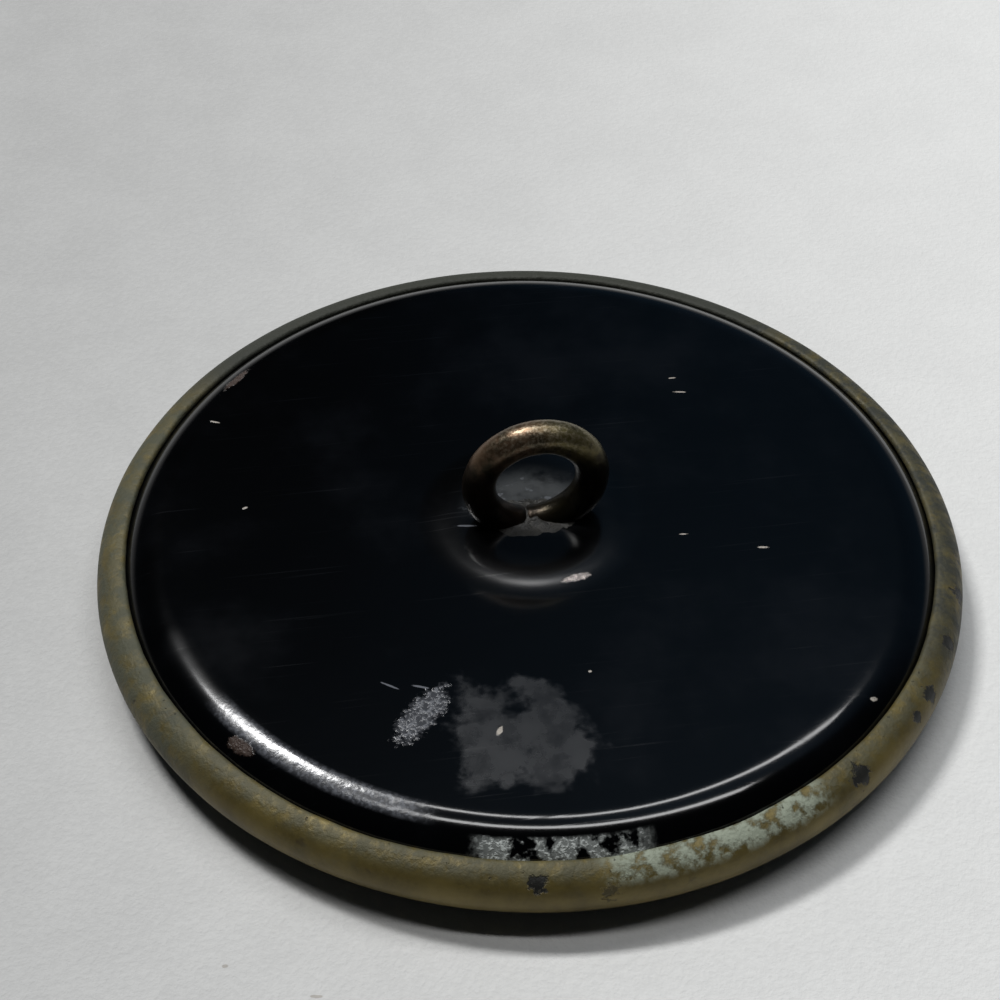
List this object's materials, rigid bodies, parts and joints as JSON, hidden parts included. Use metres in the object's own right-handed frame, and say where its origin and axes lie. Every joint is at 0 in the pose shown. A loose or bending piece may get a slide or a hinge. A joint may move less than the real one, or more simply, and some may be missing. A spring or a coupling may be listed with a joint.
{
  "type": "shank button",
  "caption": "Round metal sew-on button, shown back up: lacquered steel back in a rolled brass rim, with a soldered wire eye to sew through.",
  "frame": {"origin": "centre of the face, in the plane of the border that the button rests on", "axes": "+Z out of the back through the shank, +Y along the hole in the eye, +X across the eye"},
  "size_m": [0.038, 0.038, 0.0091],
  "materials": {
    "rim_brass": "tarnished, with pale green crust in places",
    "black_lacquer": "glossy black baked lacquer, scuffed",
    "bronzed_wire": "dark bronzed wire, rubbed bright inside the eye",
    "soft_solder": "dull, lumpy, stained",
    "tinned_steel": "dull tinned sheet",
    "pasteboard": "pressed grey-brown board",
    "face_brass": "aged stamped brass"
  },
  "bodies": {
    "root": {"brass_rim": "rim_brass", "back_plate": "black_lacquer", "shank_eye": "bronzed_wire", "shank_solder": "soft_solder", "clench_washer": "tinned_steel", "filler_board": "pasteboard", "liner_disc": "tinned_steel", "face_disc": "face_brass"}
  },
  "joints": []
}
